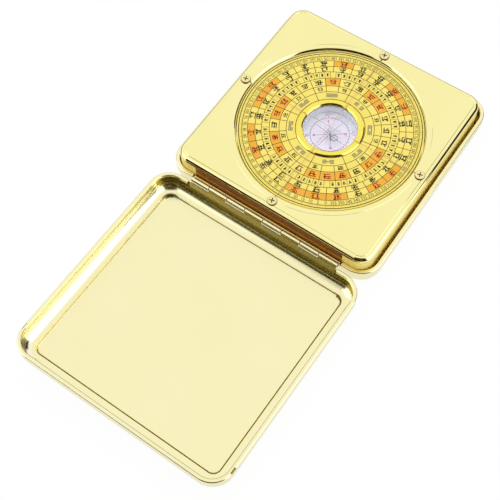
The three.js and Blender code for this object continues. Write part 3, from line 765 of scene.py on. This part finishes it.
def glyph(ink, radius, angle, wide, high, dice):
    """A generic mark of a few straight strokes, which stands for no letter or word."""
    lean = angle + math.pi / 2
    thick = 0.19 * high
    rows = dice.choice((2, 3, 3))
    for k in range(rows):
        up = high * (0.42 - 0.84 * k / (rows - 1) + dice.uniform(-0.05, 0.05))
        right = wide * dice.uniform(-0.08, 0.08)
        spot = on_dial(radius, angle, right, up)
        ink.bar(spot, wide * dice.uniform(0.45, 0.85), thick, lean + dice.uniform(-0.06, 0.06), 0.8)
    for k in range(dice.choice((1, 2, 2))):
        right = wide * (dice.uniform(-0.3, -0.05) + 0.3 * k)
        spot = on_dial(radius, angle, right, high * dice.uniform(-0.1, 0.1))
        ink.bar(spot, high * dice.uniform(0.6, 1.0), thick * 1.1, angle, 0.85)
    for side in (-1, 1):
        spot = on_dial(radius, angle, side * wide * dice.uniform(0.2, 0.32), -high * dice.uniform(0.05, 0.3))
        ink.bar(spot, high * dice.uniform(0.45, 0.75), thick, angle + side * dice.uniform(0.6, 1.0), 0.6)


def digit_shapes():
    """The ten digits as flat solids round z = 0, each a list of vertices and a list of faces."""
    shapes = []
    for k in range(10):
        curve = bpy.data.curves.new("digit", "FONT")
        curve.body = str(k)
        curve.align_x = "CENTER"
        curve.resolution_u = 2
        curve.extrude = 0.5
        holder = bpy.data.objects.new("digit", curve)
        bpy.context.scene.collection.objects.link(holder)
        graph = bpy.context.evaluated_depsgraph_get()
        mesh = bpy.data.meshes.new_from_object(holder.evaluated_get(graph))
        faces = [tuple(face.vertices) for face in mesh.polygons]
        shapes.append(([tuple(vertex.co) for vertex in mesh.vertices], faces))
        bpy.data.objects.remove(holder)
        bpy.data.meshes.remove(mesh)
        bpy.data.curves.remove(curve)
    return shapes


DIGITS = digit_shapes()


def number(ink, value, radius, angle, height):
    """A number read with its top towards the centre; a digit of the font is 0.7 high."""
    text = str(value)
    for k, sign in enumerate(text):
        vertices, faces = DIGITS[int(sign)]
        start = len(ink.vertices)
        shift = (k - (len(text) - 1) / 2) * 0.62 * height
        for x, y, z in vertices:
            right = shift + x * height / 0.7 * 0.9
            spot = on_dial(radius, angle, right, (y - 0.35) * height / 0.7)
            ink.vertices.append((*spot, ink.bottom if z < 0 else ink.top))
        ink.faces += [tuple(start + i for i in face) for face in faces]


# The radii of the ring lines, the orange cells out of 24, and the eight three-line signs by
# their angle, each with its bars from the centre outwards: 1 for a whole bar, 0 for a broken one
RINGS = [12.6, 15.87, 18.47, 22.02, 24.83, 27.23, 29.94, 31.9, 33.14]
ORANGE_INNER = {0, 4, 5, 8, 12, 13, 15, 16, 19, 20, 21, 23}
ORANGE_OUTER = {3, 4, 7, 11, 12, 14, 15, 18, 19, 20, 22, 23}
TRIGRAMS = {
    120: (1, 1, 1), 75: (0, 0, 0), 30: (1, 0, 1), 345: (0, 0, 1),
    300: (0, 1, 0), 255: (1, 0, 0), 210: (0, 1, 1), 165: (1, 1, 0),
}
TRIGRAM_RADIUS = 14.25
CELL_SHIFT = 7.6
NUMBER_START = 300


def dial_print():
    """The dial's cells, lines, numbers and signs, as inks of five colours."""
    dice = random.Random(7)
    fill, lines = ink_on(DIAL_FACE, 0.012), ink_on(DIAL_FACE, 0.02)
    black, red, grey = (ink_on(DIAL_FACE, 0.028) for _ in range(3))
    for radius in RINGS[:-1]:
        lines.circle(radius, 0.19)
    lines.circle(RINGS[-1], 0.3)
    for k in range(8):
        angle = math.radians(45 * k + CELL_SHIFT)
        lines.bar(polar((RINGS[0] + RINGS[2]) / 2, angle), RINGS[2] - RINGS[0], 0.2, angle)
    for k in range(24):
        middle = math.radians(15 * k)
        edge = math.radians(15 * k + CELL_SHIFT)
        lines.bar(polar((RINGS[1] + RINGS[3]) / 2, edge), RINGS[3] - RINGS[1], 0.2, edge)
        lines.bar(polar((RINGS[4] + RINGS[6]) / 2, middle), RINGS[6] - RINGS[4], 0.2, middle)
        outer_middle = math.radians(15 * k + 7.5)
        if k % 2:
            glyph(black, (RINGS[1] + RINGS[2]) / 2, middle, 2.4, 1.4, dice)
        if k in ORANGE_INNER:
            fill.sector(RINGS[2], RINGS[3], 15 * k - (15 - CELL_SHIFT), 15 * k + CELL_SHIFT)
        glyph(red if k in ORANGE_INNER else black, (RINGS[2] + RINGS[3]) / 2, middle, 3.2, 2.0, dice)
        glyph(black, (RINGS[4] + RINGS[5]) / 2, outer_middle, 3.1, 1.9, dice)
        if k in ORANGE_OUTER:
            fill.sector(RINGS[5], RINGS[6], 15 * k, 15 * k + 15)
        glyph(red if k in ORANGE_OUTER else black, (RINGS[5] + RINGS[6]) / 2, outer_middle, 3.6, 2.0, dice)
    for k in range(72):
        edge = math.radians(5 * k + 2.6)
        lines.bar(polar((RINGS[3] + RINGS[4]) / 2, edge), RINGS[4] - RINGS[3], 0.13, edge)
        middle = math.radians(5 * k + 5.1)
        if k % 6 != 5:
            glyph(lines, (RINGS[3] + RINGS[4]) / 2, middle, 0.9, 1.3, dice)
        angle = math.radians(NUMBER_START - 5 * k)
        number(lines, 5 * k, (RINGS[6] + RINGS[7]) / 2, angle, 1.25)
    for k in range(360):
        angle = math.radians(NUMBER_START - k)
        long = 0.85 if k % 5 == 0 else 0.5
        lines.bar(polar(RINGS[7] + long / 2, angle), long, 0.1, angle)
    for angle, bars in TRIGRAMS.items():
        turn = math.radians(angle)
        for row, whole in enumerate(bars):
            up = 0.58 - 0.58 * row
            for right, length in ((0.0, 4.2),) if whole else ((-1.3, 1.6), (1.3, 1.6)):
                grey.bar(on_dial(TRIGRAM_RADIUS, turn, right, up), length, 0.4, turn + math.pi / 2)
    return fill, lines, black, red, grey


card = at_plate(turned("dial_card_printed", [
    (HUB_INNER, DIAL_UNDERSIDE), (DIAL_RADIUS - 0.05, DIAL_UNDERSIDE), (DIAL_RADIUS, DIAL_UNDERSIDE + 0.05),
    (DIAL_RADIUS, DIAL_FACE - 0.05), (DIAL_RADIUS - 0.05, DIAL_FACE), (HUB_INNER, DIAL_FACE),
], 160))
dress(card, "dial", print_yellow, ["dial_card"])
for ink, name, look in zip(
    dial_print(),
    ("dial_orange_cells", "dial_lines", "dial_marks_black", "dial_marks_red", "dial_trigrams"),
    (print_orange, print_black, print_black, print_red, print_grey),
):
    dress(ink.mesh(name), "dial", look)


# Capsule: bezel, glass, cup and the printed rose
def capsule():
    """The bezel with its arched crown, and the window, the cup and the rose's card below it."""
    seat = DIAL_FACE + 0.05
    half = (BEZEL_OUTER - BEZEL_INNER) / 2
    pocket = GLASS_RADIUS + 0.05
    ledge = GLASS_TOP + 0.05
    profile = [(BEZEL_INNER, ledge), (pocket, ledge), (pocket, GLASS_BOTTOM), (CUP_OUTER, GLASS_BOTTOM)]
    profile += [(CUP_OUTER, seat), (BEZEL_OUTER, seat)]
    round_radius = half / math.sin(math.radians(52))
    profile += arc(BEZEL_INNER + half, seat + 0.6 - round_radius, round_radius, 38, 142, 36)
    dress(at_plate(turned("bezel_ring", profile, 160)), "dial", bezel_gold, ["capsule_bezel"], 60.0)
    window = [
        (0, GLASS_BOTTOM), (GLASS_RADIUS - 0.1, GLASS_BOTTOM), (GLASS_RADIUS, GLASS_BOTTOM + 0.1),
        (GLASS_RADIUS, GLASS_TOP - 0.1), (GLASS_RADIUS - 0.1, GLASS_TOP), (0, GLASS_TOP),
    ]
    dress(at_plate(turned("window_pane", window, 128)), "dial", glass, ["capsule_glass"])
    rim = GLASS_BOTTOM - 0.05
    inside = ROSE_TOP - 0.25
    cup = [(0, CUP_BOTTOM), (CUP_OUTER, CUP_BOTTOM), (CUP_OUTER, rim)]
    cup += [(CUP_INNER, rim), (CUP_INNER, inside), (0, inside)]
    dress(at_plate(turned("cup_white", cup, 128)), "dial", capsule_white, ["capsule_cup"])
    low = ROSE_TOP - 0.2
    rose = [(0.75, low), (CUP_INNER - 0.05, low), (CUP_INNER - 0.05, ROSE_TOP), (0.75, ROSE_TOP)]
    dress(at_plate(turned("rose_card", rose, 128)), "dial", rose_paper, ["compass_rose"])


def rose_print():
    """The printed rose: a disc in a circle, a scale, four numbers and lines, as inks of four colours."""
    blush, pink, mauve, grey = (ink_on(ROSE_TOP, thickness) for thickness in (0.012, 0.02, 0.022, 0.025))
    mauve.circle(ROSE_CIRCLE, 0.2)
    blush.prism([polar(ROSE_CIRCLE, 2 * math.pi * k / 96) for k in range(96)])
    for k in range(36):
        angle = math.radians(ROSE_NORTH + 10 * k)
        long = 0.9 if k % 3 == 0 else 0.55
        grey.bar(polar(ROSE_CIRCLE + 0.05 + long / 2, angle), long, 0.13, angle)
    for value in (0, 90, 180, 270):
        angle = math.radians(ROSE_NORTH - value)
        number(pink, value, 8.6, angle, 1.25)
        pink.bar(polar(5.75, angle), 0.95, 0.95, angle)
        grey.bar(polar(3.1, angle), 4.2, 0.2, angle, 0.6)
    for value in (45, 135, 225, 315):
        angle = math.radians(ROSE_NORTH - value)
        grey.bar(polar(3.5, angle), 5.4, 0.22, angle, 0.6)
        pink.bar(polar(6.6, angle), 0.5, 0.16, angle)
    for k in range(8):
        angle = math.radians(ROSE_NORTH + 22.5 + 45 * k)
        grey.bar(polar(3.2, angle), 3.2, 0.09, angle, 0.5)
    return blush, pink, mauve, grey


capsule()
for ink, name, look in zip(
    rose_print(),
    ("rose_blush_disc", "rose_marks_pink", "rose_circle", "rose_marks_grey"),
    (rose_blush, rose_pink, rose_mauve, rose_grey),
):
    dress(ink.mesh(name), "dial", look)


# Needle: two halves of one blade, its cap and the small wire loop
def blade(name, look, low, high, takes=()):
    """A tapering stretch of the blade between two distances from the pivot; the south side is negative."""
    ink = Ink(NEEDLE_Z, NEEDLE_Z + NEEDLE_THICKNESS)
    corners = ((low, -1), (high, -1), (high, 1), (low, 1))
    ink.prism([(x, side * (0.06 + 0.22 * (1 - abs(x) / NEEDLE_LENGTH))) for x, side in corners])
    piece = at_plate(shape(name, ink.vertices, ink.faces), turn=NEEDLE_HEADING)
    dress(piece, "needle", look, takes)


blade("needle_north", needle_dark, NEEDLE_EYE, NEEDLE_DARK_END, ["needle_blade"])
blade("needle_north_tip", needle_pale, NEEDLE_DARK_END, NEEDLE_LENGTH)
blade("needle_south", needle_pale, -NEEDLE_LENGTH, -NEEDLE_EYE)
eye = Ink(NEEDLE_Z, NEEDLE_Z + NEEDLE_THICKNESS)
eye.circle(0.92, 0.34, 48)
dress(at_plate(shape("needle_eye", eye.vertices, eye.faces)), "needle", needle_pale)
cap_profile = [(radius, NEEDLE_Z + up) for radius, up in (
    (0.45, -0.3), (0.7, -0.3), (0.7, 0.2), (0.62, 0.4), (0.42, 0.64), (0.18, 0.75), (0, 0.75), (0, 0.35),
)]
dress(at_plate(turned("needle_cap_turned", cap_profile, 48)), "needle", cap_brass, ["needle_cap"])


def wire_loop():
    """A ring of round wire beside the blade's middle."""
    vertices, faces = [], []
    steps, sides = 48, 12
    for k in range(steps):
        angle = 2 * math.pi * k / steps
        for out, up in arc(LOOP_RADIUS, 0.4, WIRE_RADIUS, 0, 360 * (sides - 1) / sides, sides - 1):
            x, y = polar(out, angle)
            vertices.append((LOOP_PLACE[0] + x, LOOP_PLACE[1] + y, NEEDLE_Z + up))
    for k in range(steps):
        for j in range(sides):
            n, m = (k + 1) % steps, (j + 1) % sides
            faces.append((k * sides + j, n * sides + j, n * sides + m, k * sides + m))
    return at_plate(shape("balance_loop", vertices, faces), turn=NEEDLE_HEADING)


dress(wire_loop(), "needle", loop_steel, ["needle_loop"])

# Hidden and plain nodes keep their CAD shape
for node, look in {
    "hinge_pin": pin_steel, "pivot_post": pin_steel, "axle_screw": pin_steel, "spring_washer": pin_steel,
    "dial_carrier": carrier_black,
    "foam_pad_1": foam, "foam_pad_2": foam, "foam_pad_3": foam, "foam_pad_4": foam,
}.items():
    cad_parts[node].data.materials.clear()
    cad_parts[node].data.materials.append(look)


# Stage, light and camera
def pale_floor():
    """White for the camera with the object's shadow, and for the metal a white sheet with a dark room beyond."""
    made = bpy.data.materials.new("pale_floor")
    made.use_nodes = True
    tree = made.node_tree
    shader = tree.nodes["Principled BSDF"]
    shader.inputs["Base Color"].default_value = (0.9, 0.9, 0.9, 1.0)
    shader.inputs["Roughness"].default_value = 0.9
    shader.inputs["Specular IOR Level"].default_value = 0.0

    def math_node(operation, *values):
        node = tree.nodes.new("ShaderNodeMath")
        node.operation = operation
        for socket, value in zip(node.inputs, values):
            if isinstance(value, float):
                socket.default_value = value
            else:
                tree.links.new(value, socket)
        return node.outputs["Value"]

    def vector_node(operation, vector, values=(0.0, 0.0, 0.0)):
        node = tree.nodes.new("ShaderNodeVectorMath")
        node.operation = operation
        tree.links.new(vector, node.inputs[0])
        node.inputs[1].default_value = values
        return node.outputs["Value" if operation in ("LENGTH", "DOT_PRODUCT") else "Vector"]

    def ramp(value, first, last, low, high):
        node = tree.nodes.new("ShaderNodeMapRange")
        node.interpolation_type = "SMOOTHSTEP"
        for name, amount in (("From Min", first), ("From Max", last), ("To Min", low), ("To Max", high)):
            node.inputs[name].default_value = amount
        tree.links.new(value, node.inputs["Value"])
        return node.outputs["Result"]

    # The distance from the open object's outline, in metres, and where the white sheet ends
    spot = tree.nodes.new("ShaderNodeTexCoord").outputs["Object"]
    from_centre = vector_node("ABSOLUTE", vector_node("SUBTRACT", spot, (0.0, -0.04365, 0.0)))
    apart = vector_node("SUBTRACT", from_centre, (0.043, 0.08645, 1.0))
    distance = vector_node("LENGTH", vector_node("MAXIMUM", apart))
    far = ramp(distance, 0.032, 0.042, 0.0, 1.0)
    beyond_lid = ramp(vector_node("DOT_PRODUCT", spot, (0.0, -1.0, 0.0)), 0.150, 0.165, 0.0, 1.0)
    from_right = vector_node("SUBTRACT", spot, (0.040, -0.002, 0.0))
    beyond_right = ramp(vector_node("DOT_PRODUCT", from_right, (-0.4894, 0.8721, 0.0)), 0.0, 0.002, 0.0, 1.0)
    dark = math_node("MULTIPLY", far, math_node("MAXIMUM", beyond_lid, beyond_right))
    # The floor as the metal mirrors it is slightly darker near the outline: a painted contact shadow.
    near = ramp(distance, 0.0, 0.02, 0.9, 0.95)
    lit = math_node("MULTIPLY", near, math_node("MULTIPLY_ADD", dark, -0.94, 1.0))

    # What the camera sees is white, and what a reflection sees is lit or dark
    path = tree.nodes.new("ShaderNodeLightPath")
    strength = math_node("MAXIMUM", path.outputs["Is Camera Ray"], lit)
    share = math_node("MULTIPLY_ADD", path.outputs["Is Camera Ray"], 0.95, path.outputs["Is Glossy Ray"])
    glow = tree.nodes.new("ShaderNodeEmission")
    glow.inputs["Color"].default_value = (1.0, 1.0, 1.0, 1.0)
    tree.links.new(strength, glow.inputs["Strength"])
    mix = tree.nodes.new("ShaderNodeMixShader")
    tree.links.new(share, mix.inputs["Fac"])
    tree.links.new(shader.outputs["BSDF"], mix.inputs[1])
    tree.links.new(glow.outputs["Emission"], mix.inputs[2])
    tree.links.new(mix.outputs["Shader"], tree.nodes["Material Output"].inputs["Surface"])
    return made


FLOOR_REACH = 3000
corners = [(x * FLOOR_REACH, y * FLOOR_REACH, -0.02) for x, y in ((-1, -1), (1, -1), (1, 1), (-1, 1))]
floor = shape("floor", corners, [(0, 1, 2, 3)])
floor.data.materials.append(pale_floor())

world = bpy.data.worlds.new("studio")
bpy.context.scene.world = world
world.use_nodes = True
tree = world.node_tree
back = tree.nodes["Background"]
place = tree.nodes.new("ShaderNodeTexCoord")


def sky_math(operation, first, second=None):
    node = tree.nodes.new("ShaderNodeMath")
    node.operation = operation
    tree.links.new(first, node.inputs[0])
    if second is not None:
        tree.links.new(second, node.inputs[1])
    return node.outputs["Value"]


def sky_ramp(value, middle, soft):
    """Rises smoothly from 0 to 1 round a middle value; a negative softness falls."""
    span = tree.nodes.new("ShaderNodeMapRange")
    span.interpolation_type = "SMOOTHSTEP"
    span.inputs["From Min"].default_value = middle - abs(soft)
    span.inputs["From Max"].default_value = middle + abs(soft)
    span.inputs["To Min"].default_value = 0.0 if soft > 0 else 1.0
    span.inputs["To Max"].default_value = 1.0 if soft > 0 else 0.0
    tree.links.new(value, span.inputs["Value"])
    return span.outputs["Result"]


def tinted(colour, tint, share):
    """A colour, or white, that turns to a tint where the share is 1."""
    mix = tree.nodes.new("ShaderNodeMix")
    mix.data_type = "RGBA"
    mix.inputs["A"].default_value = (1.0, 1.0, 1.0, 1.0)
    mix.inputs["B"].default_value = (*tint, 1.0)
    tree.links.new(share, mix.inputs["Factor"])
    if colour is not None:
        tree.links.new(colour, mix.inputs["A"])
    return mix.outputs["Result"]


parts = tree.nodes.new("ShaderNodeSeparateXYZ")
tree.links.new(place.outputs["Generated"], parts.inputs["Vector"])
AZIMUTH = sky_math("ARCTAN2", parts.outputs["Y"], parts.outputs["X"])
ELEVATION = sky_math("ARCSINE", parts.outputs["Z"])


def side_of_sky(left, right, top, soft=1.0):
    """A patch between two azimuths, from below the horizon to a top elevation, in degrees."""
    from_left = sky_ramp(AZIMUTH, math.radians(left), math.radians(soft))
    to_right = sky_ramp(AZIMUTH, math.radians(right), -math.radians(soft))
    across = sky_math("MULTIPLY", from_left, to_right)
    return sky_math("MULTIPLY", across, sky_ramp(ELEVATION, math.radians(top), -math.radians(3.0)))


def round_of_sky(azimuth, elevation, radius, soft):
    """A round patch about a point of the sky, in degrees."""
    dot = tree.nodes.new("ShaderNodeVectorMath")
    dot.operation = "DOT_PRODUCT"
    x, y = polar(math.cos(math.radians(elevation)), math.radians(azimuth))
    dot.inputs[1].default_value = (x, y, math.sin(math.radians(elevation)))
    tree.links.new(place.outputs["Generated"], dot.inputs[0])
    return sky_ramp(sky_math("ARCCOSINE", dot.outputs["Value"]), math.radians(radius), -math.radians(soft))


# What the metal mirrors: two lit windows, a dark room between them and a dark gap on the right
sky = tinted(None, (1.8, 1.8, 1.75), side_of_sky(-163, -121, 55))
sky = tinted(sky, (2.0, 2.0, 1.95), side_of_sky(-16, 33, 60))
sky = tinted(sky, (0.05, 0.035, 0.01), round_of_sky(-61, 48, 29, 2))
sky = tinted(sky, (0.02, 0.012, 0.002), side_of_sky(-118, -20, 36))
sky = tinted(sky, (0.02, 0.012, 0.002), side_of_sky(29.8, 69, 30, 0.5))
sky = tinted(sky, (0.24, 0.17, 0.06), round_of_sky(-52, 33, 7.5, 2))
path = tree.nodes.new("ShaderNodeLightPath")
seen = tree.nodes.new("ShaderNodeMix")
seen.data_type = "RGBA"
seen.inputs["A"].default_value = (1.0, 1.0, 1.0, 1.0)
tree.links.new(path.outputs["Is Glossy Ray"], seen.inputs["Factor"])
tree.links.new(sky, seen.inputs["B"])
tree.links.new(seen.outputs["Result"], back.inputs["Color"])
back.inputs["Strength"].default_value = 1.0


def softbox(name, spot, aim, size, power):
    lamp = bpy.data.lights.new(name, "AREA")
    lamp.shape = "DISK"
    lamp.size = size
    lamp.energy = power
    holder = bpy.data.objects.new(name, lamp)
    holder.location = spot
    holder.rotation_euler = (Vector(aim) - Vector(spot)).to_track_quat("-Z", "Y").to_euler()
    holder.visible_glossy = False
    bpy.context.scene.collection.objects.link(holder)


softbox("key_light", (-0.3, 0.25, 0.95), (0.0, -0.03, 0.0), 0.9, 2.3)

camera_data = bpy.data.cameras.new("camera")
camera_data.lens = 70.127
camera_data.sensor_width = 36.0
camera_data.clip_start = 0.01
camera_data.clip_end = 20.0
camera = bpy.data.objects.new("camera", camera_data)
right = Vector((0.81934, 0.57226, -0.03472))
up = -Vector((0.50153, -0.74478, -0.44019))
behind = -Vector((-0.27776, 0.34325, -0.89723))
turn = Matrix((right, up, behind)).transposed().to_4x4()
camera.matrix_world = Matrix.Translation(Vector((96.12, -170.978, 310.659)) * MM) @ turn
bpy.context.scene.collection.objects.link(camera)
bpy.context.scene.camera = camera
bpy.context.scene.view_settings.view_transform = "Standard"
